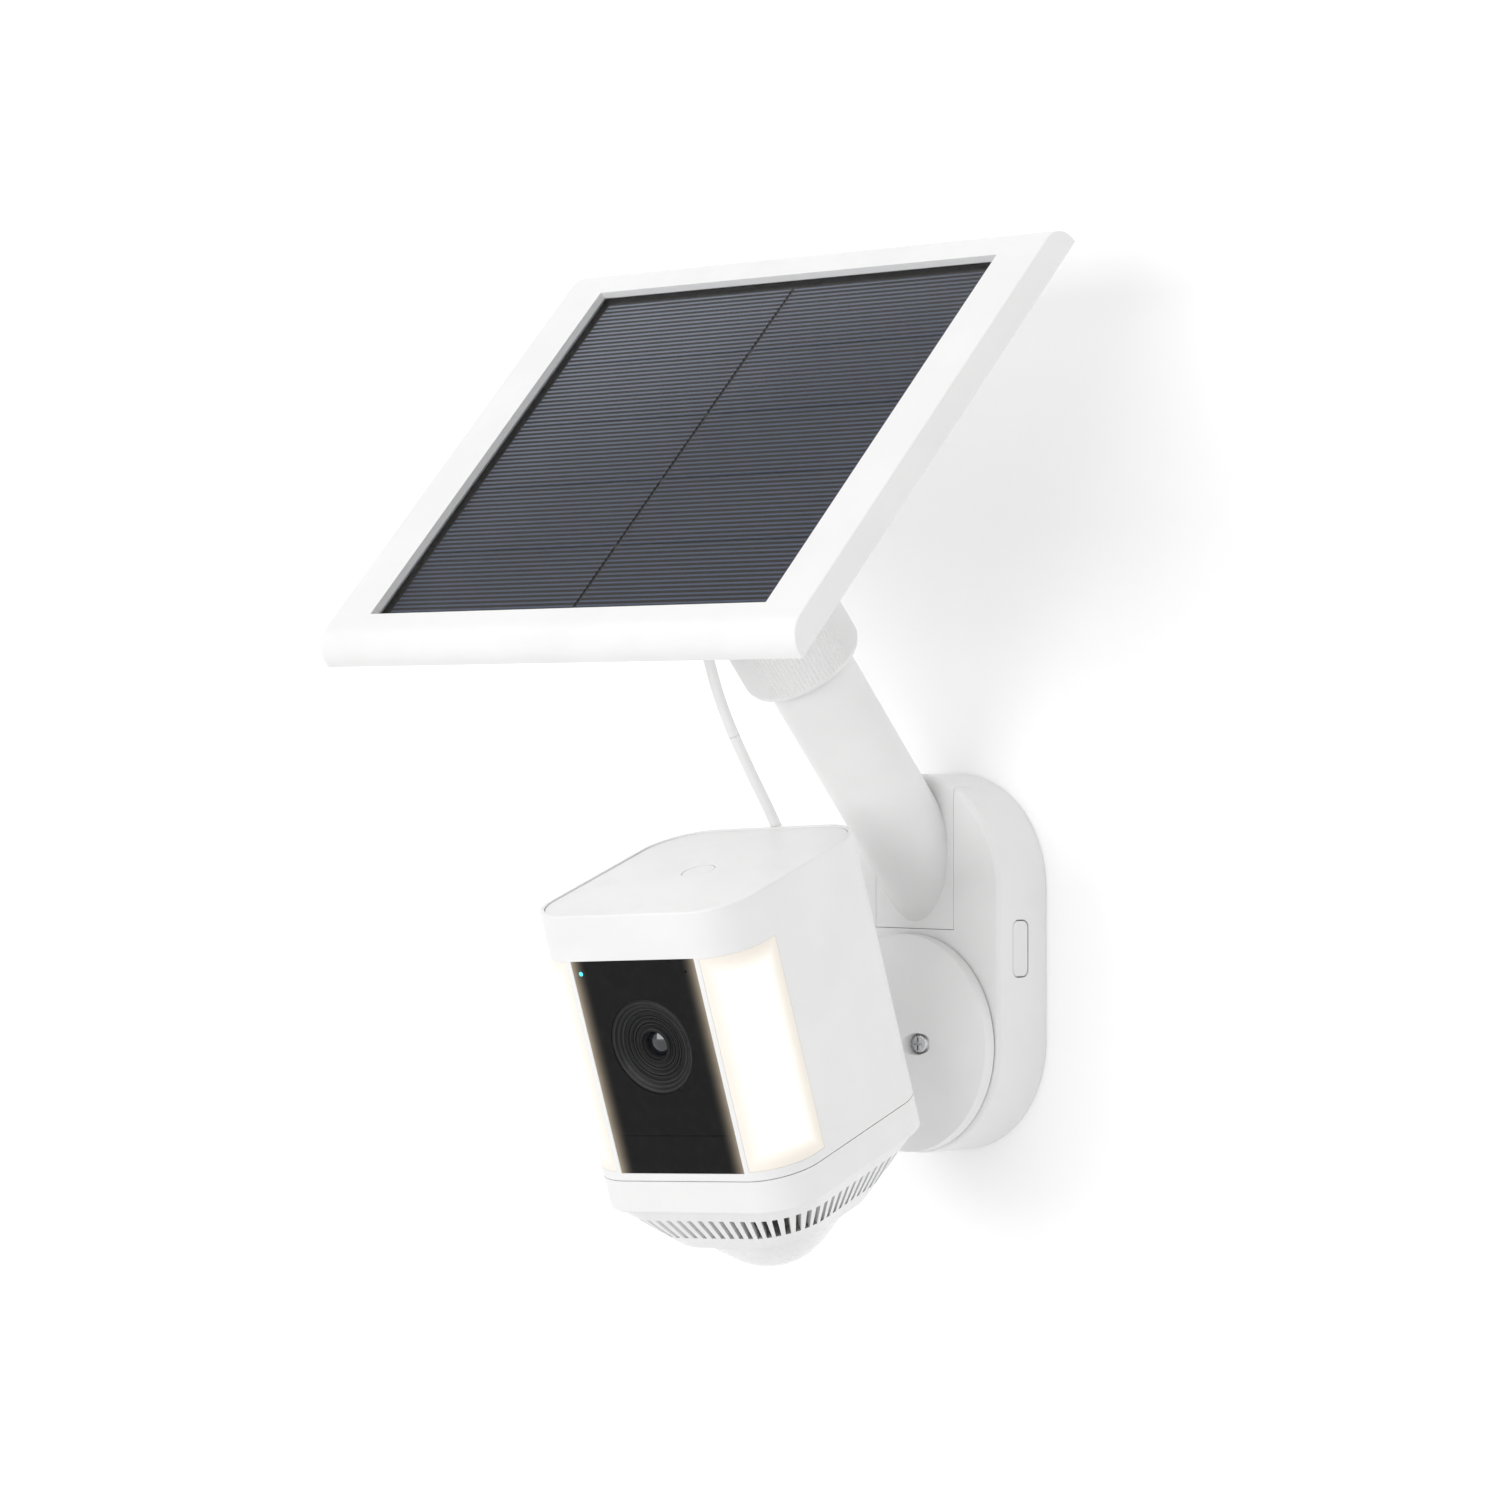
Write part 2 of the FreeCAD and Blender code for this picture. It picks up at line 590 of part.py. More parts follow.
def solar_lead():
    path = route_path(LEAD_ROUTE)
    direction = LEAD_ROUTE[1] - LEAD_ROUTE[0]
    ring = Part.Wire(Part.Circle(LEAD_ROUTE[0], direction, LEAD_R).toShape())
    solid = path.makePipeShell([ring], True, False)
    print("lead length", round(path.Length, 1), "volume / section x length",
          round(solid.Volume / (path.Length * math.pi * LEAD_R ** 2), 4))
    return solid


def lead_plug():
    """Right-angled plug in the head's port, with its tapered sleeve pointing up."""
    tip = rod(2.6, V(0, BAY_BACK_Y + 0.9, PORT_Z), V(0, HEAD_D / 2 + 1, PORT_Z))
    barrel = rod(4.4, V(0, HEAD_D / 2 + 0.3, PORT_Z), V(0, HEAD_D / 2 + 5.6, PORT_Z))
    body = rod(3.7, V(0, PLUG_Y, PORT_Z - 3.5), V(0, PLUG_Y, PORT_Z + 7))
    for end_z in (PORT_Z - 3.5, PORT_Z + 7):
        body = rounded_edges(body, 1.0, lambda e: edge_lies(e, 2, end_z))
    sleeve = Part.makeCone(3.0, LEAD_R + 0.4, 10.0, V(0, PLUG_Y, PORT_Z + 6.0), Z)
    return fuse([tip, barrel, body, sleeve])


# Camera head, in the head's own frame: z = 0 is the top, -y is the front

def light_region(clearance):
    """The two corner spaces of the light panels, as a list of right and left."""
    right = box(LIGHT_X + clearance, 60, -60, LIGHT_BACK_Y - clearance,
                LIGHT_LOW + clearance, LIGHT_TOP - clearance)
    return [right, right.mirror(V(0, 0, 0), X)]


def window_block(clearance, z_low, z_high, y0, y1):
    w = WINDOW_HALF_W - clearance
    return box(-w, w, y0, y1, z_low + clearance, z_high - clearance)


def head_shell():
    """Body casing, open at the top for the top plate and at the bottom for the cover."""
    outer = head_prism(0, COVER_TOP + 0.12, 0)
    outer = rounded_edges(outer, 0.5, lambda e: edge_lies(e, 2, 0))
    shell = outer.cut(head_prism(HEAD_WALL, COVER_TOP - 1, -3.2))
    shell = shell.cut(head_prism(RIM, -TOP_DROP - 2.2, 1))
    shell = shell.cut(head_prism(RIM + 1.6, -4, 1))
    shell = shell.cut(window_block(0, WINDOW_LOW, WINDOW_TOP, FRONT - 1, FRONT + 6))
    for region in light_region(0):
        shell = shell.cut(region)
    shell = shell.cut(rod(NECK_R + 0.6, V(0, 30, BALL_DOWN), V(0, 40, BALL_DOWN)))
    return shell.cut(rod(PORT_R + 0.1, V(0, 30, PORT_Z), V(0, 40, PORT_Z)))


def top_plate():
    plate = head_prism(RIM + 0.12, -TOP_DROP - 2.1, -TOP_DROP)
    plate = rounded_edges(plate, 0.3, lambda e: edge_lies(e, 2, -TOP_DROP))
    return plate.cut(rod(BUTTON_R + 0.15, V(0, 0, -4), V(0, 0, 1)))


def setup_button():
    cap = rod(BUTTON_R, V(0, 0, -3.2), V(0, 0, -TOP_DROP))
    cap = rounded_edges(cap, 0.35, lambda e: edge_lies(e, 2, -TOP_DROP))
    flange = rod(BUTTON_R + 1.2, V(0, 0, BUTTON_FLANGE_LOW), V(0, 0, -3.0 - TOP_DROP / 2))
    stem = rod(1.4, V(0, 0, -5.2), V(0, 0, -3.7))
    return fuse([cap, flange, stem])


def button_spring():
    """Spring round the switch, between its board and the button's flange."""
    low, high = BOARD_TOP + SPRING_PLAY, BUTTON_FLANGE_LOW - SPRING_PLAY
    place = FreeCAD.Placement(V(0, 0, low), FreeCAD.Rotation())
    return coil(BUTTON_SPRING_R, SPRING_WIRE_R, high - low, BUTTON_SPRING_TURNS, place)


def button_board():
    """Board with the switch under the button."""
    board = box(-11, 11, -9, 9, BOARD_TOP - 1.2, BOARD_TOP)
    switch = box(-1.6, 1.6, -1.6, 1.6, BOARD_TOP - 0.1, BOARD_TOP + 1.7)
    return fuse([board, switch])


def front_window():
    """Black front panel with the holes of the lens, the status light and the microphone."""
    plate = window_block(0.06, WINDOW_SPLIT, WINDOW_TOP, FRONT + 0.12, FRONT + 2.0)
    plate = plate.cut(rod(LENS_RING_R, V(0, FRONT - 1, LENS_Z), V(0, FRONT + 4, LENS_Z)))
    for x, z, r in (LED, MIC):
        plate = plate.cut(rod(r, V(x, FRONT - 1, z), V(x, FRONT + 4, z)))
    return plate


def sensor_window():
    return window_block(0.06, WINDOW_LOW, WINDOW_SPLIT, FRONT + 0.12, FRONT + 2.0)


def lens_ring():
    """Outer ring of the lens, a shallow dish from the window down to the lens disc."""
    r0, r1 = LENS_RING_R - 0.06, LENS_DISC_R + 0.05
    points = [(r0, FRONT + 0.25), (r0 - 0.5, FRONT + 0.05), (r0 - 1.1, FRONT + 0.25),
              (r1 + 0.6, FRONT + 1.1), (r1, FRONT + 1.2), (r1, FRONT + 3.6), (r0, FRONT + 3.6)]
    return turned([V(r, y, LENS_Z) for r, y in points], V(0, 0, LENS_Z), Y)


def lens_disc():
    """Grooved disc round the lens barrel."""
    front = FRONT + 1.3
    points = [(LENS_DISC_R, front + 2.2), (LENS_DISC_R, front)]
    rings, inner = 6, BARREL_R + 0.05
    step = (LENS_DISC_R - inner - 1.0) / rings
    for i in range(rings):
        r = LENS_DISC_R - 0.6 - i * step
        points += [(r, front + 0.08 * i), (r - 0.12, front + 0.2 + 0.08 * i),
                   (r - 0.3, front + 0.2 + 0.08 * i), (r - 0.42, front + 0.08 * i)]
    points += [(inner, front + 0.5), (inner, front + 2.2)]
    return turned([V(r, y, LENS_Z) for r, y in points], V(0, 0, LENS_Z), Y)


def lens_barrel():
    front = FRONT + 1.2
    points = [(BARREL_R, front + 14), (BARREL_R, front + 0.3), (BARREL_R - 0.3, front),
              (GLASS_R + 0.5, front), (GLASS_R + 0.04, front + 0.9), (GLASS_R + 0.04, front + 14)]
    return turned([V(r, y, LENS_Z) for r, y in points], V(0, 0, LENS_Z), Y)


def lens_glass():
    """Front lens: a plano-convex disc."""
    at = V(0, FRONT + 2.2, LENS_Z)
    radius, depth = 6.0, 2.5
    ball = Part.makeSphere(radius, at + Y * radius)
    return ball.common(rod(GLASS_R, at, at + Y * depth))


def image_sensor():
    """Sensor board at the back of the barrel."""
    back = FRONT + 15.2
    board = box(-10, 10, back + 0.4, back + 1.6, LENS_Z - 9, LENS_Z + 9)
    chip = box(-2.8, 2.8, back - 0.6, back + 0.5, LENS_Z - 2.2, LENS_Z + 2.2)
    return fuse([board, chip])


def light_pipe():
    x, z, r = LED
    thin = rod(r - 0.04, V(x, FRONT + 0.1, z), V(x, FRONT + 2.1, z))
    return fuse([thin, rod(1.0, V(x, FRONT + 2.05, z), V(x, FRONT + 5, z))])


def microphone():
    x, z, r = MIC
    return tube(1.6, r, V(x, FRONT + 2.05, z), V(x, FRONT + 4, z))


def light_cover(side):
    """Frosted corner panel of one floodlight."""
    ring = head_prism(0.05, LIGHT_LOW, LIGHT_TOP).cut(head_prism(HEAD_WALL - 0.3, -80, 1))
    region = light_region(0.07)[0 if side > 0 else 1]
    return ring.common(region)


def light_board(side):
    """Angled board with a column of lamps behind one corner panel."""
    inner = HEAD_W / 2 - HEAD_WALL
    back = FRONT + HEAD_WALL
    place = FreeCAD.Placement(V(inner - 9.5, back + 9.5, 0), FreeCAD.Rotation(Z, 45))
    board = box(-6.5, 6.5, -0.8, 0.8, LIGHT_LOW + 4, LIGHT_TOP - 4)
    lamps = []
    for i in range(6):
        z = LIGHT_LOW + 10 + i * 7.9
        lamps.append(box(-1.75, 1.75, -1.5, -0.7, z - 1.75, z + 1.75))
    out = moved(fuse([board] + lamps), place)
    return out if side > 0 else out.mirror(V(0, 0, 0), X)


def motion_sensor():
    """Heat sensor can and its ribbed lens behind the lower window."""
    z = (WINDOW_SPLIT + WINDOW_LOW) / 2
    lens = box(-12, 12, FRONT + 2.1, FRONT + 2.9, z - 4.6, z + 4.6)
    can = rod(4.2, V(0, FRONT + 2.8, z), V(0, FRONT + 8, z))
    return fuse([lens, can])


def main_board():
    """Upright board across the head, between the lens and the battery bay."""
    y = -18.2
    board = box(-29, 29, y, y + 1.6, -67.5, -12)
    chips = [box(-22, -10, y + 1.5, y + 2.6, -34, -22), box(4, 18, y + 1.5, y + 2.8, -40, -26),
             box(-16, -4, y + 1.5, y + 2.4, -58, -48), box(10, 22, y + 1.5, y + 3.0, -62, -52)]
    return fuse([board] + chips)


def battery_bay():
    """Box with two compartments, open at the bottom, that holds the packs."""
    half_w = PACK_W + 0.9 + BAY_WALL
    low = COVER_TOP + 1.6
    high = low + PACK_H + 0.6
    bay = box(-half_w, half_w, BAY_FRONT_Y, BAY_BACK_Y, low, high + 1.0)
    bay = rounded_edges(bay, 1.2, lambda e: e.BoundBox.ZLength > 50)
    for side in (-1, 1):
        x0, x1 = sorted((side * 0.4, side * (PACK_W + 0.9)))
        bay = bay.cut(box(x0, x1, BAY_FRONT_Y + BAY_WALL, BAY_BACK_Y - BAY_WALL, low - 1, high))
    return bay


def battery_packs():
    out = []
    low = COVER_TOP + 1.8
    for side in (-1, 1):
        x0, x1 = sorted((side * 0.7, side * (PACK_W + 0.7)))
        pack = box(x0, x1, BAY_FRONT_Y + BAY_WALL + 0.2, BAY_BACK_Y - BAY_WALL - 0.2, low, low + PACK_H)
        out.append(rounded_edges(pack, 1.5, lambda e: e.BoundBox.ZLength > 50))
    return out


def speaker():
    """Speaker that faces down into the vented cover."""
    at = V(0, -21.5, COVER_TOP)
    basket = Part.makeCone(7.0, 5.0, 4.0, at, Z)
    magnet = rod(4.0, at + Z * 3.9, at + Z * 6.0)
    return fuse([basket, magnet])


def rear_port():
    """Charging socket in the back wall."""
    start, end = V(0, BAY_BACK_Y + 0.1, PORT_Z), V(0, HEAD_D / 2 - 0.2, PORT_Z)
    return rod(PORT_R, start, end).cut(rod(2.7, start + Y * 0.6, end + Y))


def ball_stud():
    """Ball and neck that carry the head, with a flange inside the back wall."""
    centre = V(0, BALL_BACK, BALL_DOWN)
    inside = HEAD_D / 2 - HEAD_WALL
    neck = rod(NECK_R, V(0, inside - 0.1, BALL_DOWN), centre)
    ring = Part.makeCone(NECK_R + 2.0, NECK_R, 1.6, V(0, HEAD_D / 2 + 0.02, BALL_DOWN), Y)
    flange = box(-12, 12, inside - 1.6, inside - 0.04, BALL_DOWN - 4.7, BALL_DOWN + 5.6)
    return fuse([Part.makeSphere(BALL_R, centre), neck, ring, flange])


def cover_outline(inset, z, top):
    """Outline of the vented skirt at its top or its foot, made smaller by inset."""
    if top:
        half = HEAD_D / 2 - VENT_STEP - inset
        return outline(HEAD_W / 2 - VENT_STEP - inset, -half, half, HEAD_FRONT_R - inset,
                       HEAD_BACK_R - inset, z)
    half = VENT_HALF - inset
    return outline(half, VENT_CENTRE_Y - half, VENT_CENTRE_Y + half, VENT_R - inset, VENT_R - inset, z)


def skirt(inset, z_top, z_low):
    """Solid between the skirt's outline at its top and at its foot."""
    rims = [cover_outline(inset, z_top, True), cover_outline(inset, z_low, False)]
    return Part.makeLoft(rims, True, True)


def vent_cutters():
    """Upright slots, evenly spaced round the skirt and pointed at its middle."""
    middle = cover_outline((HEAD_W / 2 - VENT_HALF) / 2 - VENT_STEP / 2, 0, True)
    count = int(middle.Length / SLOT_PITCH)
    out = []
    for p in middle.discretize(count + 1)[:-1]:
        angle = math.degrees(math.atan2(p.y - VENT_CENTRE_Y / 2, p.x))
        blade = box(-9, 9, -SLOT_W / 2, SLOT_W / 2, SLOT_LOW, SLOT_TOP)
        out.append(moved(blade, FreeCAD.Placement(V(p.x, p.y, 0), FreeCAD.Rotation(Z, angle))))
    return Part.makeCompound(out)


def bottom_cover():
    """Lift-off cover: a band that continues the head, and the vented skirt under it."""
    band = head_prism(0, BAND_LOW, COVER_TOP - 0.12)
    band = rounded_edges(band, 0.9, lambda e: edge_lies(e, 2, BAND_LOW))
    outer = fuse([band, skirt(0, BAND_LOW + 0.05, VENT_LOW)])
    hollow = fuse([head_prism(HEAD_WALL, BAND_LOW + 1.2, COVER_TOP + 1),
                   skirt(HEAD_WALL, BAND_LOW + 1.25, VENT_LOW + 2.0)])
    cover = outer.cut(hollow).cut(vent_cutters())
    lip = head_prism(HEAD_WALL + 0.15, COVER_TOP - 3, COVER_TOP + 0.6)
    lip = lip.cut(head_prism(HEAD_WALL + 1.3, COVER_TOP - 4, COVER_TOP + 2))
    strip = head_prism(HEAD_WALL - 0.2, COVER_TOP - 3, COVER_TOP - 0.6)
    strip = strip.cut(head_prism(HEAD_WALL + 1.3, COVER_TOP - 4, COVER_TOP + 2))
    cover = fuse([cover, lip, strip])
    return cover.cut(rod(DOME_R - 3, V(0, VENT_CENTRE_Y, VENT_LOW - 1), V(0, VENT_CENTRE_Y, VENT_LOW + 3)))


def dome_profile(inset):
    """Bell outline of the dome from its rim to its lowest point, as (radius, z)."""
    r, low, z = DOME_R - inset, DOME_LOW + inset, VENT_LOW - 0.05
    steps = 14
    out = []
    for i in range(steps + 1):
        t = 1 - i / steps
        out.append((r * t, low + (z - low) * (1 - (1 - t ** 2.4) ** 1.3)))
    return out


def bottom_dome():
    """Smooth dome under the cover, with a spigot that clips into the cover's floor."""
    centre = V(0, VENT_CENTRE_Y, 0)
    curve = Part.BSplineCurve()
    curve.interpolate([V(r, VENT_CENTRE_Y, z) for r, z in dome_profile(0)])
    low, rim = V(0, VENT_CENTRE_Y, DOME_LOW), V(0, VENT_CENTRE_Y, VENT_LOW - 0.05)
    edges = [curve.toShape(), Part.LineSegment(low, rim).toShape(),
             Part.LineSegment(rim, V(DOME_R, VENT_CENTRE_Y, VENT_LOW - 0.05)).toShape()]
    body = Part.Face(Part.Wire(Part.sortEdges(edges)[0])).revolve(centre, Z, 360)
    body = body.cut(Part.makeCone(DOME_R - 4, 6, 9.5, V(0, VENT_CENTRE_Y, VENT_LOW + 1), V(0, 0, -1)))
    spigot = tube(DOME_R - 3.1, DOME_R - 4.4, V(0, VENT_CENTRE_Y, VENT_LOW - 0.1),
                  V(0, VENT_CENTRE_Y, VENT_LOW + 1.9))
    return fuse([body, spigot])


def cover_seal():
    """Soft ring in the seam between the head and its cover."""
    ring = head_prism(HEAD_WALL + 1.4, COVER_TOP + 0.62, COVER_TOP + 1.4)
    return ring.cut(head_prism(HEAD_WALL + 2.6, COVER_TOP, COVER_TOP + 2))


def main():
    os.makedirs("parts", exist_ok=True)
    write("wall_bracket", wall_bracket())
    write("mount_housing", mount_housing())
    write("tab_stops", tab_stops())
    write("release_tab_right", release_tab(1))
    write("release_tab_left", release_tab(-1))
    write("tab_spring_right", tab_spring(1))
    write("tab_spring_left", tab_spring(-1))
    write("swivel_base", swivel_base())
    write("security_screw", security_screw())
    write("base_retainer", base_retainer())
    write("base_screws", base_screws())
    write("head_ball_liner", ball_liner(BALL, V(0, -1, 0)))

    write("solar_arm", solar_arm())
    write("arm_screws", arm_screws())
    write("collar_nut", collar_nut(), ARM)
    write("panel_ball_liner", ball_liner(V(0, 0, PIVOT_S), Z), ARM)

    write("panel_frame", panel_frame(), PANEL)
    write("panel_glass", panel_glass(), PANEL)
    write("solar_cells", solar_cells(), PANEL)
    write("cell_backsheet", cell_backsheet(), PANEL)
    write("panel_back", panel_back(), PANEL)
    write("panel_screws", [small_screw(p, Z) for p in back_screw_points()], PANEL)
    write("panel_ball", panel_ball(), PANEL)
    write("stud_screws", stud_screws(), PANEL)
    write("junction_board", junction_board(), PANEL)
    write("lead_grommet", lead_grommet(), PANEL)
    write("solar_lead", solar_lead())
    write("lead_plug", lead_plug(), HEAD)

    write("head_shell", head_shell(), HEAD)
    write("top_plate", top_plate(), HEAD)
    write("setup_button", setup_button(), HEAD)
    write("button_spring", button_spring(), HEAD)
    write("button_board", button_board(), HEAD)
    write("front_window", front_window(), HEAD)
    write("sensor_window", sensor_window(), HEAD)
    write("lens_ring", lens_ring(), HEAD)
    write("lens_disc", lens_disc(), HEAD)
    write("lens_barrel", lens_barrel(), HEAD)
    write("lens_glass", lens_glass(), HEAD)
    write("image_sensor", image_sensor(), HEAD)
    write("light_pipe", light_pipe(), HEAD)
    write("microphone", microphone(), HEAD)
    write("light_cover_right", light_cover(1), HEAD)
    write("light_cover_left", light_cover(-1), HEAD)
    write("light_board_right", light_board(1), HEAD)
    write("light_board_left", light_board(-1), HEAD)
    write("motion_sensor", motion_sensor(), HEAD)
    write("main_board", main_board(), HEAD)
    write("battery_bay", battery_bay(), HEAD)
    write("battery_packs", battery_packs(), HEAD)
    write("speaker", speaker(), HEAD)
    write("rear_port", rear_port(), HEAD)
    write("ball_stud", ball_stud(), HEAD)
    write("bottom_cover", bottom_cover(), HEAD)
    write("bottom_dome", bottom_dome(), HEAD)
    write("cover_seal", cover_seal(), HEAD)
    print("ball", BALL, "pivot", PIVOT, "head", HEAD_ORIGIN, "panel", PANEL_ORIGIN)


main()
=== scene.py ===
import json
import math

import bpy
from mathutils import Euler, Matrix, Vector


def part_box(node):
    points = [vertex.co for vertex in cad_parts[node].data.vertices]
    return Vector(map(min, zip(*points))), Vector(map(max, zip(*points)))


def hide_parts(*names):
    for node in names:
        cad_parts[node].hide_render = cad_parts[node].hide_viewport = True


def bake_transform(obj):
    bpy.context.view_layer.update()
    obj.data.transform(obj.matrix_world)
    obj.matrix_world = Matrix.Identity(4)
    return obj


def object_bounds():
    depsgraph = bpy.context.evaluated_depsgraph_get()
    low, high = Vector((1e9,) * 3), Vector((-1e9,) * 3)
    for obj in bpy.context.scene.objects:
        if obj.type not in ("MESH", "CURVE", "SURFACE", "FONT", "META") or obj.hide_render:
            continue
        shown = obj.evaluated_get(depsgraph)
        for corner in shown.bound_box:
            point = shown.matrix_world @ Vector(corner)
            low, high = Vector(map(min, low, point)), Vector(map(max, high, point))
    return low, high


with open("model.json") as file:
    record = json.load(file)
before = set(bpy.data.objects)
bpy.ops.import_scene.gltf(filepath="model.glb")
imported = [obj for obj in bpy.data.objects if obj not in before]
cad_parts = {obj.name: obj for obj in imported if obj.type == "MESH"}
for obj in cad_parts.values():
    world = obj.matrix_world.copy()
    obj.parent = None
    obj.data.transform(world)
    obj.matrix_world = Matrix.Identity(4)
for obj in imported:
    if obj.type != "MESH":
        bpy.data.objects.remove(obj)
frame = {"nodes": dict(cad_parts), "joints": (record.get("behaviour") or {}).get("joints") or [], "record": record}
cad_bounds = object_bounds()

# Angles that the CAD model is built with
HEAD_TILT = math.radians(18.22)
HEAD_PAN = math.radians(8.55)
PANEL_SLOPE = math.radians(47.27)

# The head's ball centre, from the head's top centre, in the head's own axes (metres)
BALL_IN_HEAD = Vector((0, 0.048, -0.0685))

# Panel: height of its glass, the rim that the cells leave free, rows of cells, and finger lines in each row
GLASS_H = 0.1267
CELL_RIM = 0.0017
CELL_ROWS, FINGERS = 5, 15

# Lens axis below the head's top, and the spacing of the turned rings round it
LENS_Z = -0.037
RING_PITCH = 0.0011

# Corner light panels in the head's axes: top, low, rear and inner edges, and the reach of the rim's warm tint
LIGHT_TOP, LIGHT_LOW, LIGHT_REAR, LIGHT_INNER = -0.01295, -0.0722, -0.01785, 0.022
LIGHT_RIM = 0.011

# Half width of the black front window, and how far a painted glow of spilled light reaches in from its long edges
WINDOW_HALF_W = 0.0205
PAINTED_GLOW_REACH = 0.0052

# Depths of surface relief: the fine grain, and the slow ripple of a moulding
GRAIN_DEPTH = 0.00001
RIPPLE_DEPTH = 0.00002

# Refractive index that sets how fast the cover glass gains its mirror gloss
COVER_IOR = 1.2

# Backdrop: its reach, the floor's drop below the object, and the wall's distance behind the mount
STAGE_REACH = 4.0
FLOOR_DROP = 0.35
WALL_GAP = 0.0006

# Camera: focal length and sensor in millimetres, its place, and its heading about the upright axis
LENS_LENGTH, SENSOR_WIDTH = 116.91, 36
CAMERA_PLACE = (0.9344, -1.0189, 0.0599)
CAMERA_HEADING = math.radians(45)
CLIP_NEAR, CLIP_FAR = 0.01, 50

JOINTS = {j["name"]: j for j in frame["joints"]}
NODES = frame["nodes"]


def centre_of(node):
    """Middle of a CAD node's box at rest."""
    low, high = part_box(node)
    return (low + high) / 2


HEAD_TURN = Euler((HEAD_TILT, 0, 0)).to_matrix() @ Euler((0, 0, HEAD_PAN)).to_matrix()
HEAD_ORIGIN = Vector(JOINTS["head_pan"]["pos_m"]) - HEAD_TURN @ BALL_IN_HEAD
PANEL_CENTRE = centre_of("panel_glass")


# Node helpers

class Graph:
    """A material's node tree, with short calls for the nodes used here."""

    def __init__(self, name):
        self.material = bpy.data.materials.new(name)
        self.material.use_nodes = True
        self.tree = self.material.node_tree
        self.tree.nodes.clear()
        self.out = self.tree.nodes.new("ShaderNodeOutputMaterial")
        self.object_coords = None

    def node(self, kind, **values):
        made = self.tree.nodes.new(kind)
        for key, value in values.items():
            setattr(made, key, value)
        return made

    def link(self, source, target):
        self.tree.links.new(source, target)

    def feed(self, socket, value):
        """Links a socket to another one, or sets its value."""
        if isinstance(value, bpy.types.NodeSocket):
            self.link(value, socket)
        else:
            socket.default_value = value

    def coords(self):
        if self.object_coords is None:
            self.object_coords = self.node("ShaderNodeTexCoord").outputs["Object"]
        return self.object_coords

    def local(self, origin, turn):
        """Coordinates in a part's own axes: origin is its place, turn its Euler angles."""
        mapping = self.node("ShaderNodeMapping", vector_type="TEXTURE")
        self.link(self.coords(), mapping.inputs["Vector"])
        mapping.inputs["Location"].default_value = origin
        mapping.inputs["Rotation"].default_value = turn
        return mapping.outputs["Vector"]

    def split(self, vector):
        made = self.node("ShaderNodeSeparateXYZ")
        self.link(vector, made.inputs[0])
        return made.outputs

    def math(self, operation, a, b=0.0):
        made = self.node("ShaderNodeMath", operation=operation)
        for socket, value in zip(made.inputs, (a, b)):
            self.feed(socket, value)
        return made.outputs[0]

    def ramp(self, value, low, high, to_low=0.0, to_high=1.0, smooth=True):
        made = self.node("ShaderNodeMapRange", clamp=True)
        made.interpolation_type = "SMOOTHSTEP" if smooth else "LINEAR"
        self.feed(made.inputs["Value"], value)
        for key, number in (("From Min", low), ("From Max", high), ("To Min", to_low), ("To Max", to_high)):
            made.inputs[key].default_value = number
        return made.outputs["Result"]

    def noise(self, scale, detail=3.0, roughness=0.5):
        made = self.node("ShaderNodeTexNoise")
        self.link(self.coords(), made.inputs["Vector"])
        made.inputs["Scale"].default_value = scale
        made.inputs["Detail"].default_value = detail
        made.inputs["Roughness"].default_value = roughness
        return made.outputs["Fac"]

    def mix(self, factor, a, b):
        made = self.node("ShaderNodeMix", data_type="RGBA")
        self.feed(made.inputs[0], factor)
        for socket, colour in ((made.inputs[6], a), (made.inputs[7], b)):
            self.feed(socket, colour if isinstance(colour, bpy.types.NodeSocket) else (*colour, 1))
        return made.outputs[2]

    def bump(self, height, distance, strength, under=None):
        """Bumps a surface by height times distance, over another bump if one is under it."""
        made = self.node("ShaderNodeBump")
        made.inputs["Strength"].default_value = strength
        made.inputs["Distance"].default_value = distance
        self.link(height, made.inputs["Height"])
        if under is not None:
            self.link(under, made.inputs["Normal"])
        return made.outputs["Normal"]

    def principled(self, colour, roughness, normal=None, **constants):
        shader = self.node("ShaderNodeBsdfPrincipled")
        self.feed(shader.inputs["Base Color"], colour)
        self.feed(shader.inputs["Roughness"], roughness)
        if normal is not None:
            self.link(normal, shader.inputs["Normal"])
        for key, value in constants.items():
            shader.inputs[key.replace("_", " ")].default_value = value
        return shader

    def finish(self, shader):
        self.link(shader.outputs[0], self.out.inputs["Surface"])
        return self.material


def moulded(name, light, dark, rough=(0.32, 0.42), grain=2600):
    """Moulded plastic: faint mottling, uneven gloss and a fine eroded grain."""
    g = Graph(name)
    cloud = g.noise(38, 4)
    colour = g.mix(g.ramp(cloud, 0.35, 0.65), dark, light)
    gloss = g.ramp(g.noise(210, 3), 0.3, 0.7, *rough)
    ripple = g.bump(g.noise(60, 1), RIPPLE_DEPTH, 0.15)
    normal = g.bump(g.noise(grain, 2, 0.6), GRAIN_DEPTH, 0.5, ripple)
    return g.finish(g.principled(colour, gloss, normal))


def metal(name, light, dark, rough=(0.18, 0.34)):
    """Plain plated metal with fine marks in its colour and surface."""
    g = Graph(name)
    marks = g.noise(1500, 3, 0.6)
    colour = g.mix(g.ramp(marks, 0.3, 0.7), dark, light)
    gloss = g.ramp(g.noise(700, 3), 0.3, 0.7, *rough)
    return g.finish(g.principled(colour, gloss, g.bump(marks, GRAIN_DEPTH, 0.6), Metallic=1.0))


def head_axes(g):
    """x, y and z in the head's own axes, with z = 0 at its top."""
    return g.split(g.local(HEAD_ORIGIN, HEAD_TURN.to_euler()))


def panel_axes(g):
    """x and y in the panel's own axes, from the middle of its glass."""
    return g.split(g.local(PANEL_CENTRE, (PANEL_SLOPE, 0, 0)))


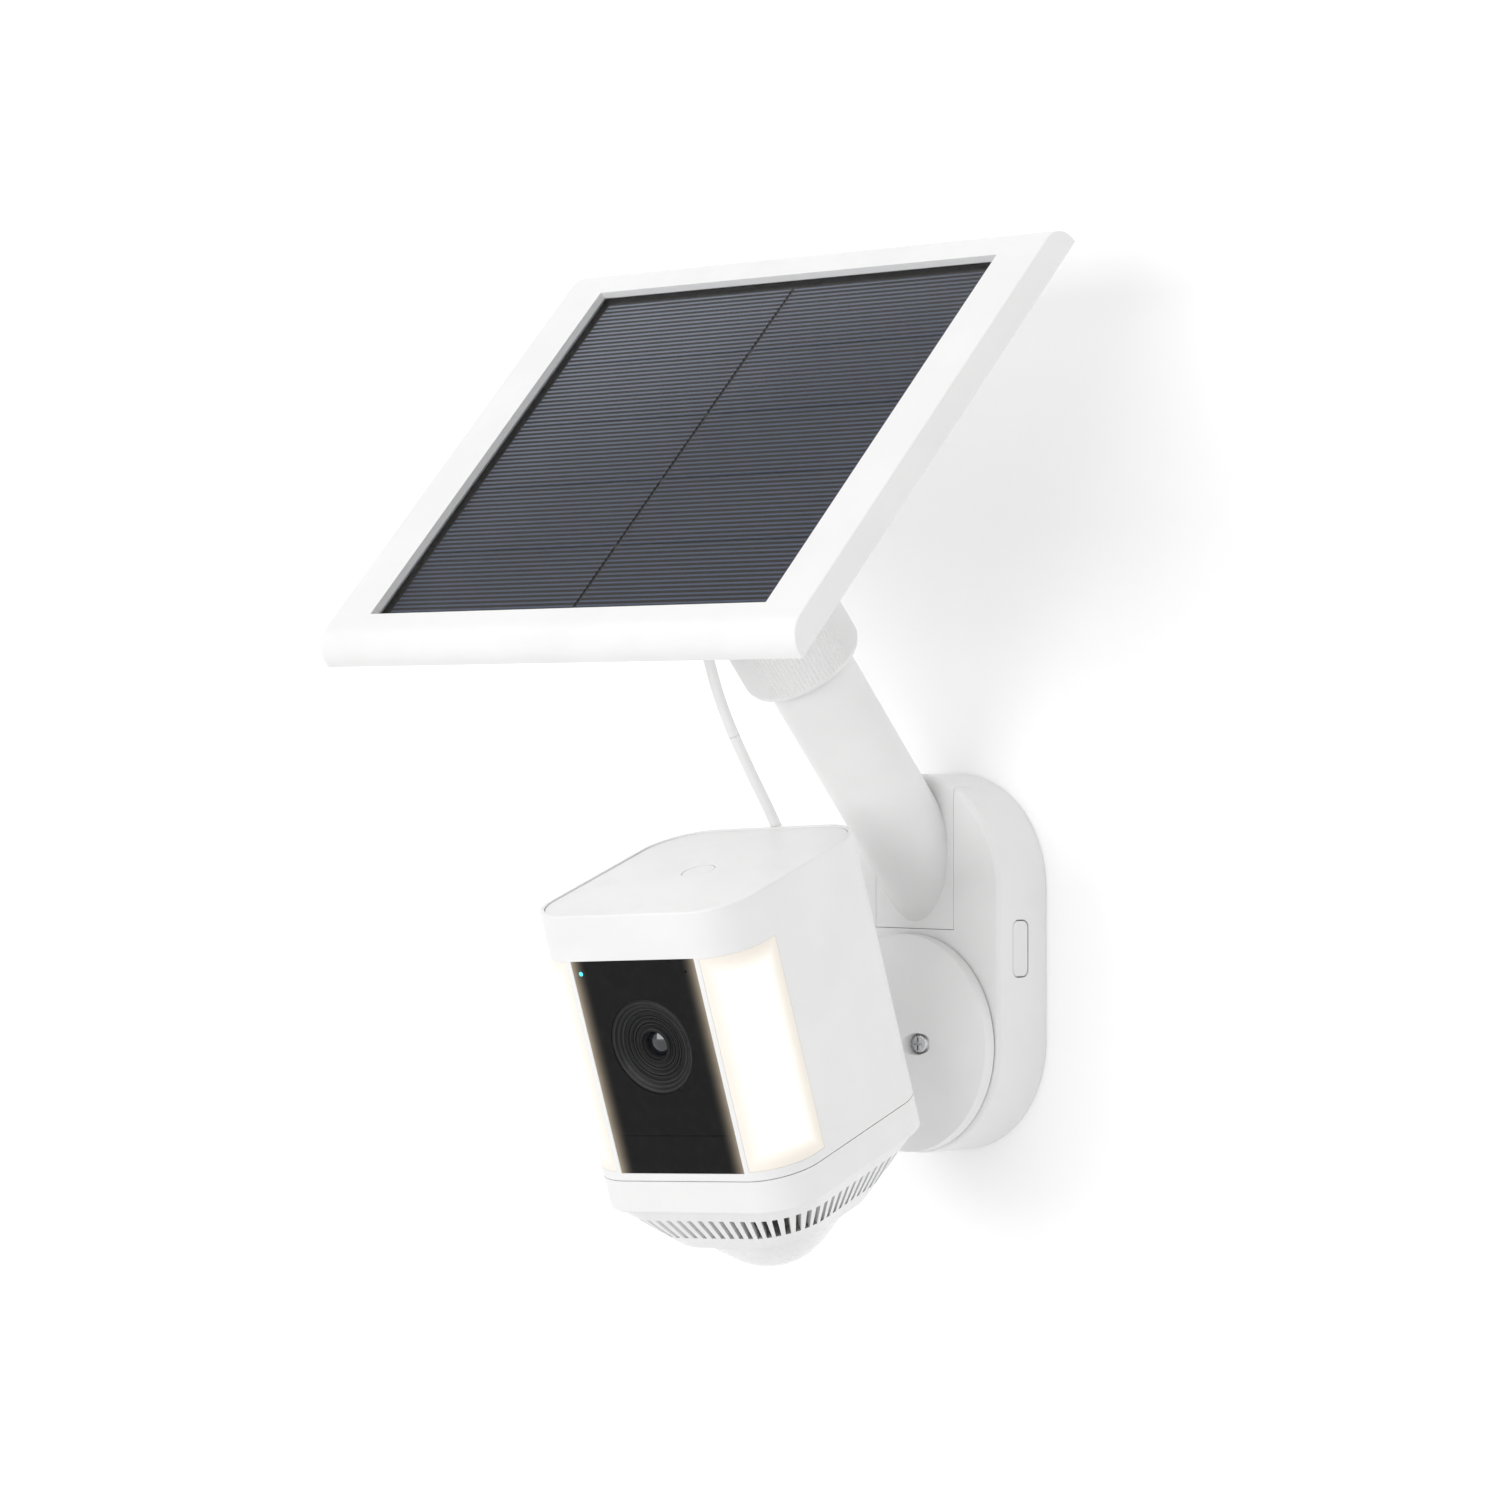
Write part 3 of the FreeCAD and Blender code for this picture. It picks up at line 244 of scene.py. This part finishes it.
def light_edge(g):
    """Distance in metres from a corner light panel's nearest edge, positive inside the panel."""
    x, y, z = head_axes(g)
    side = g.math("SUBTRACT", g.math("ABSOLUTE", x), LIGHT_INNER)
    rear = g.math("SUBTRACT", LIGHT_REAR, y)
    up = g.math("SUBTRACT", LIGHT_TOP, z)
    down = g.math("SUBTRACT", z, LIGHT_LOW)
    return g.math("MINIMUM", g.math("MINIMUM", up, down), g.math("MINIMUM", side, rear))


def diffuser_material():
    """Frosted corner panel lit from behind: white in the middle, warm at the rim."""
    g = Graph("diffuser_glow")
    inside = g.ramp(light_edge(g), 0.0, LIGHT_RIM)
    mottled = g.math("MULTIPLY", inside, g.ramp(g.noise(90, 3), 0.3, 0.7, 0.96, 1.0))
    warm, white = (0.95, 0.86, 0.74), (1.0, 0.99, 0.965)
    colour = g.mix(mottled, warm, white)
    normal = g.bump(g.noise(2200, 2), 0.00002, 0.4)
    shader = g.principled(g.mix(inside, (0.78, 0.74, 0.68), (0.9, 0.88, 0.84)),
                          g.ramp(g.noise(300, 2), 0.3, 0.7, 0.38, 0.5), normal)
    g.link(colour, shader.inputs["Emission Color"])
    g.link(g.ramp(mottled, 0.0, 1.0, 0.16, 0.6, smooth=False), shader.inputs["Emission Strength"])
    return g.finish(shader)


def window_material(name, rough):
    """Smooth black window with a painted glow along its two long edges, which stands in for light spilled from the
    corner lights.
    """
    g = Graph(name)
    x = head_axes(g)[0]
    edge = g.math("SUBTRACT", WINDOW_HALF_W, g.math("ABSOLUTE", x))
    # painted glow: emission on the window's long edges stands in for light spilled from the corner lights
    painted_glow = g.math("POWER", g.ramp(edge, 0.0, PAINTED_GLOW_REACH, 1.0, 0.0, smooth=False), 2.6)
    painted_glow = g.math("MULTIPLY", painted_glow, g.ramp(g.noise(160, 2), 0.2, 0.8, 0.85, 1.0))
    dust = g.noise(300, 2)
    colour = g.mix(g.ramp(dust, 0.4, 0.8), (0.0065, 0.0065, 0.007), (0.009, 0.009, 0.0095))
    gloss = g.ramp(g.noise(60, 3), 0.3, 0.7, *rough)
    shader = g.principled(colour, gloss, g.bump(g.noise(45, 1), GRAIN_DEPTH, 0.1), Specular_IOR_Level=0.14)
    shader.inputs["Emission Color"].default_value = (0.95, 0.8, 0.6, 1)
    g.link(g.math("MULTIPLY", painted_glow, 0.42), shader.inputs["Emission Strength"])
    return g.finish(shader)


def cell_material():
    """Wafer with pale blue finger lines on brown-black silicon, the lines painted paler toward the upper-left
    corner as a painted sheen of light.
    """
    g = Graph("cell_wafer")
    x, y, _ = panel_axes(g)
    usable = GLASS_H - 2 * CELL_RIM
    pitch = usable / CELL_ROWS / FINGERS
    step = g.math("DIVIDE", g.math("ADD", y, usable / 2), pitch)
    across = g.math("ABSOLUTE", g.math("SUBTRACT", g.math("FRACT", step), 0.5))
    finger = g.ramp(across, 0.18, 0.25, 1.0, 0.0)
    # painted sheen: the finger lines get a lighter colour toward the upper-left corner, where the light falls
    toward_lit_corner = g.math("SUBTRACT", y, g.math("MULTIPLY", x, 0.6))
    cloud = g.math("MULTIPLY", g.math("SUBTRACT", g.noise(14, 2), 0.5), 0.03)
    painted_sheen = g.ramp(g.math("ADD", toward_lit_corner, cloud), -0.02, 0.11)
    pale = g.mix(painted_sheen, (0.07, 0.085, 0.125), (0.2, 0.225, 0.28))
    speckle = g.ramp(g.noise(2400, 2), 0.3, 0.7, 0.0, 0.12)
    silicon = g.mix(speckle, (0.016, 0.012, 0.010), (0.05, 0.045, 0.05))
    colour = g.mix(finger, silicon, pale)
    gloss = g.ramp(finger, 0.0, 1.0, 0.32, 0.45, smooth=False)
    return g.finish(g.principled(colour, gloss, g.bump(finger, 0.00002, 0.5), Specular_IOR_Level=0.12))


def clear_glass(name, tint):
    """Thin clear cover: what is under it shows, with a mirror gloss that grows at low angles."""
    g = Graph(name)
    through = g.node("ShaderNodeBsdfTransparent")
    cloud = g.ramp(g.noise(55, 3), 0.3, 0.7)
    g.link(g.mix(cloud, tint, tuple(min(1.0, c + 0.01) for c in tint)), through.inputs["Color"])
    gloss = g.node("ShaderNodeBsdfGlossy")
    g.link(g.ramp(g.noise(80, 3), 0.3, 0.7, 0.02, 0.06), gloss.inputs["Roughness"])
    fresnel = g.node("ShaderNodeFresnel")
    fresnel.inputs["IOR"].default_value = COVER_IOR
    front = g.math("SUBTRACT", 1.0, g.node("ShaderNodeNewGeometry").outputs["Backfacing"])
    both = g.node("ShaderNodeMixShader")
    g.link(g.math("MULTIPLY", fresnel.outputs[0], front), both.inputs[0])
    g.link(through.outputs[0], both.inputs[1])
    g.link(gloss.outputs[0], both.inputs[2])
    return g.finish(both)


def lens_material():
    """Coated front lens: dark, with a blue-green sheen."""
    g = Graph("lens_coating")
    ring = g.noise(700, 2)
    colour = g.mix(g.ramp(ring, 0.3, 0.7), (0.006, 0.008, 0.012), (0.012, 0.016, 0.022))
    return g.finish(g.principled(colour, g.ramp(ring, 0.3, 0.7, 0.03, 0.07), Coat_Weight=1.0,
                                 Coat_Roughness=0.03, Specular_IOR_Level=0.7))


def lens_mount_material():
    """Black lens mount with fine turned rings round the lens axis: real relief, and painted highlights that
    lighten the colour along every ring.
    """
    g = Graph("lens_mount")
    x, _, z = head_axes(g)
    up = g.math("SUBTRACT", z, LENS_Z)
    squares = g.math("ADD", g.math("MULTIPLY", x, x), g.math("MULTIPLY", up, up))
    radius = g.math("SQRT", squares)
    wave = g.math("SINE", g.math("MULTIPLY", radius, 2 * math.pi / RING_PITCH))
    ring_relief_and_highlight = g.ramp(wave, -0.6, 1.0)
    # painted highlight: the colour is lighter along each ring, standing in for light caught by the turned grooves
    shade = g.math("MULTIPLY", ring_relief_and_highlight, g.ramp(g.noise(260, 3), 0.3, 0.7, 0.75, 1.0))
    colour = g.mix(shade, (0.009, 0.009, 0.0095), (0.032, 0.032, 0.033))
    gloss = g.ramp(g.noise(700, 2), 0.3, 0.7, 0.3, 0.42)
    return g.finish(g.principled(colour, gloss, g.bump(ring_relief_and_highlight, 0.00004, 0.4), Specular_IOR_Level=0.16))


def led_material():
    """Small status light, lit blue-green."""
    g = Graph("status_led")
    glow = g.ramp(g.noise(1800, 2), 0.3, 0.7, 0.8, 1.1)
    shader = g.principled(g.mix(g.noise(1500), (0.05, 0.45, 0.6), (0.1, 0.6, 0.75)), 0.3)
    shader.inputs["Emission Color"].default_value = (0.08, 0.75, 0.95, 1)
    g.link(glow, shader.inputs["Emission Strength"])
    return g.finish(shader)


def board_material():
    """Green solder mask, with raised lines for the copper tracks under it."""
    g = Graph("circuit_mask")
    tracks = g.node("ShaderNodeTexBrick")
    g.link(g.coords(), tracks.inputs["Vector"])
    tracks.inputs["Scale"].default_value = 160
    tracks.inputs["Color1"].default_value = (0.01, 0.10, 0.045, 1)
    tracks.inputs["Color2"].default_value = (0.012, 0.12, 0.05, 1)
    tracks.inputs["Mortar"].default_value = (0.05, 0.2, 0.07, 1)
    return g.finish(g.principled(tracks.outputs["Color"], g.ramp(g.noise(500), 0.3, 0.7, 0.25, 0.4),
                                 g.bump(tracks.outputs["Fac"], 0.00003, 0.5)))


def make_materials():
    white, off_white = (0.86, 0.86, 0.858), (0.835, 0.835, 0.833)
    return {
        "white_plastic": moulded("white_shell", white, off_white),
        "tab_plastic": moulded("white_tab", (0.84, 0.84, 0.838), (0.82, 0.82, 0.818), (0.36, 0.46)),
        "dome_plastic": moulded("white_dome", (0.85, 0.85, 0.848), (0.83, 0.83, 0.828), (0.22, 0.3), 3200),
        "grey_plastic": moulded("grey_moulded", (0.09, 0.09, 0.095), (0.07, 0.07, 0.075), (0.4, 0.55)),
        "zinc_steel": metal("zinc_plate", (0.62, 0.63, 0.64), (0.5, 0.51, 0.52), (0.3, 0.45)),
        "screw_steel": metal("screw_nickel", (0.72, 0.72, 0.73), (0.55, 0.55, 0.56)),
        "spring_steel": metal("spring_wire", (0.55, 0.55, 0.57), (0.42, 0.42, 0.44)),
        "circuit_board": board_material(),
        "black_window": window_material("black_window", (0.12, 0.2)),
        "black_sensor": window_material("black_sensor", (0.16, 0.26)),
        "lens_plastic": lens_mount_material(),
        "lens_glass": lens_material(),
        "status_light": led_material(),
        "diffuser": diffuser_material(),
        "sensor_plastic": moulded("milky_lens", (0.6, 0.6, 0.59), (0.55, 0.55, 0.54), (0.3, 0.4)),
        "battery_wrap": moulded("battery_film", (0.02, 0.02, 0.022), (0.015, 0.015, 0.016), (0.25, 0.4)),
        "soft_seal": moulded("seal_rubber", (0.05, 0.05, 0.05), (0.04, 0.04, 0.04), (0.6, 0.75)),
        "panel_glass": clear_glass("panel_cover_glass", (0.97, 0.975, 0.98)),
        "silicon": cell_material(),
        "backsheet": moulded("back_film", (0.014, 0.012, 0.011), (0.011, 0.010, 0.009), (0.4, 0.55)),
        "lead_sheath": moulded("lead_jacket", (0.83, 0.83, 0.828), (0.8, 0.8, 0.798), (0.36, 0.48), 3600),
        "lead_plug": moulded("plug_moulding", (0.82, 0.82, 0.818), (0.79, 0.79, 0.788), (0.42, 0.55), 3000),
    }


def dress_frame(materials):
    """Gives each CAD node the material that its slot in the record names."""
    for part in frame["record"]["subparts"]:
        node = NODES[part["node"]]
        node.data.materials.clear()
        node.data.materials.append(materials[part["material_slot"]])


# The lead

LEAD_ROUTE = [
    (0, -0.11771, 0.1149),
    (0, -0.1089, 0.10676),
    (-0.0002, -0.1016, 0.0884),
    (-0.0005, -0.0950, 0.0716),
    (-0.0012, -0.0842, 0.0554),
    (-0.0017, -0.0732, 0.0404),
    (0.00097, -0.0670, 0.0248),
    (0.00097, -0.0629, 0.0124),
]
LEAD_R = 0.0015
TUBE_SIDES = 20


def lead_centreline():
    """Points of the smooth curve that the route's points control."""
    data = bpy.data.curves.new("route", "CURVE")
    data.dimensions = "3D"
    data.resolution_u = 24
    spline = data.splines.new("NURBS")
    spline.points.add(len(LEAD_ROUTE) - 1)
    for point, place in zip(spline.points, LEAD_ROUTE):
        point.co = (*place, 1)
    spline.order_u = 3
    spline.use_endpoint_u = True
    route = bpy.data.objects.new("route", data)
    bpy.context.scene.collection.objects.link(route)
    mesh = bpy.data.meshes.new_from_object(route.evaluated_get(bpy.context.evaluated_depsgraph_get()))
    points = [v.co.copy() for v in mesh.vertices]
    bpy.data.objects.remove(route)
    bpy.data.meshes.remove(mesh)
    return points


def tube_mesh(name, path, radius):
    """Round tube along a path that never runs along X, closed at both ends."""
    across, sides = Vector((1, 0, 0)), TUBE_SIDES
    verts, faces = [], []
    for i, point in enumerate(path):
        ahead = (path[min(i + 1, len(path) - 1)] - path[max(i - 1, 0)]).normalized()
        side = (across - ahead * across.dot(ahead)).normalized()
        other = ahead.cross(side)
        for k in range(sides):
            a = 2 * math.pi * k / sides
            verts.append(point + radius * (math.cos(a) * side + math.sin(a) * other))
    for i in range(len(path) - 1):
        for k in range(sides):
            n = (k + 1) % sides
            faces.append((i * sides + k, i * sides + n, (i + 1) * sides + n, (i + 1) * sides + k))
    last = (len(path) - 1) * sides
    faces.append(tuple(reversed(range(sides))))
    faces.append(tuple(range(last, last + sides)))
    mesh = bpy.data.meshes.new(name)
    mesh.from_pydata([tuple(v) for v in verts], [], faces)
    for face in mesh.polygons:
        face.use_smooth = len(face.vertices) == 4
    made = bpy.data.objects.new(name, mesh)
    bpy.context.scene.collection.objects.link(made)
    return made


def length_of(path):
    """Length of a path of points."""
    return sum((b - a).length for a, b in zip(path, path[1:]))


def build_lead(material):
    """The lead in four lengths cut at equal shares of its run, each listed with a pair of parts that is not used.
    """
    path = lead_centreline()
    total = length_of(path)
    spans = [("solar_panel", "panel_ball_liner"), ("panel_ball_liner", "wall_mount"),
             ("wall_mount", "swivel_base"), ("swivel_base", "head_ball_liner")]
    cuts = [0]
    run = 0.0
    for i in range(1, len(path)):
        run += (path[i] - path[i - 1]).length
        if run >= total * len(cuts) / len(spans) and len(cuts) < len(spans):
            cuts.append(i)
    cuts.append(len(path) - 1)
    for number, (pair, start, end) in enumerate(zip(spans, cuts, cuts[1:]), 1):
        piece_path = path[start:end + 1]
        piece = tube_mesh(f"lead_{number}", piece_path, LEAD_R)
        piece.data.materials.append(material)
        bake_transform(piece)
        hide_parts("solar_lead")


# Stage, light and camera

def plane(name, corners, material):
    """Flat backdrop surface, which isn't part of the object."""
    mesh = bpy.data.meshes.new(name)
    mesh.from_pydata(corners, [], [(0, 1, 2, 3)])
    made = bpy.data.objects.new(name, mesh)
    bpy.context.scene.collection.objects.link(made)
    made.data.materials.append(material)
    return made


def backdrop_material(name, shade, glow):
    """Pale matt paint, seen from its front side only, so that it never hides the object's back."""
    g = Graph(name)
    paint = g.principled(g.mix(g.noise(3), (shade,) * 3, (shade + 0.02,) * 3), 0.9, Specular_IOR_Level=0.0,
                         Emission_Color=(1, 1, 1, 1), Emission_Strength=glow)
    clear = g.node("ShaderNodeBsdfTransparent")
    both = g.node("ShaderNodeMixShader")
    g.link(g.node("ShaderNodeNewGeometry").outputs["Backfacing"], both.inputs[0])
    g.link(paint.outputs[0], both.inputs[1])
    g.link(clear.outputs[0], both.inputs[2])
    return g.finish(both)


def build_stage():
    """A wall behind the mount, with a slight glow of its own so that it stays white, and a floor."""
    far, wall, floor = STAGE_REACH, WALL_GAP, cad_bounds[0].z - FLOOR_DROP
    wall_corners = [(-far, wall, floor), (far, wall, floor), (far, wall, far), (-far, wall, far)]
    floor_corners = [(-far, -far, floor), (far, -far, floor), (far, far, floor), (-far, far, floor)]
    plane("stage_wall", wall_corners, backdrop_material("stage_wall_paint", 0.86, 0.2))
    plane("stage_floor", floor_corners, backdrop_material("stage_floor_paint", 0.7, 0.0))


def area_light(name, place, target, size, power):
    """Soft rectangular light of a size in metres and a power in watts, turned to its target."""
    data = bpy.data.lights.new(name, "AREA")
    data.shape = "RECTANGLE"
    data.size, data.size_y = size
    data.energy = power
    made = bpy.data.objects.new(name, data)
    made.location = place
    made.rotation_euler = (Vector(target) - Vector(place)).to_track_quat("-Z", "Y").to_euler()
    bpy.context.scene.collection.objects.link(made)


def build_lights():
    middle = (cad_bounds[0] + cad_bounds[1]) / 2
    area_light("key", (-1.1, -1.5, 1.5), middle, (1.6, 1.6), 9)
    area_light("front_fill", (0.1, -2.3, -0.1), middle, (2.2, 1.4), 31)
    world = bpy.data.worlds.new("studio")
    world.use_nodes = True
    world.node_tree.nodes["Background"].inputs["Color"].default_value = (1, 1, 1, 1)
    world.node_tree.nodes["Background"].inputs["Strength"].default_value = 0.62
    bpy.context.scene.world = world
    bpy.context.scene.view_settings.view_transform = "Standard"


def build_camera():
    data = bpy.data.cameras.new("photo_view")
    data.lens = LENS_LENGTH
    data.sensor_width = SENSOR_WIDTH
    data.clip_start, data.clip_end = CLIP_NEAR, CLIP_FAR
    made = bpy.data.objects.new("photo_view", data)
    made.location = CAMERA_PLACE
    made.rotation_euler = (math.radians(90), 0, CAMERA_HEADING)
    bpy.context.scene.collection.objects.link(made)
    bpy.context.scene.camera = made


def main():
    build_camera()
    materials = make_materials()
    dress_frame(materials)
    build_lead(materials["lead_sheath"])
    build_stage()
    build_lights()


main()
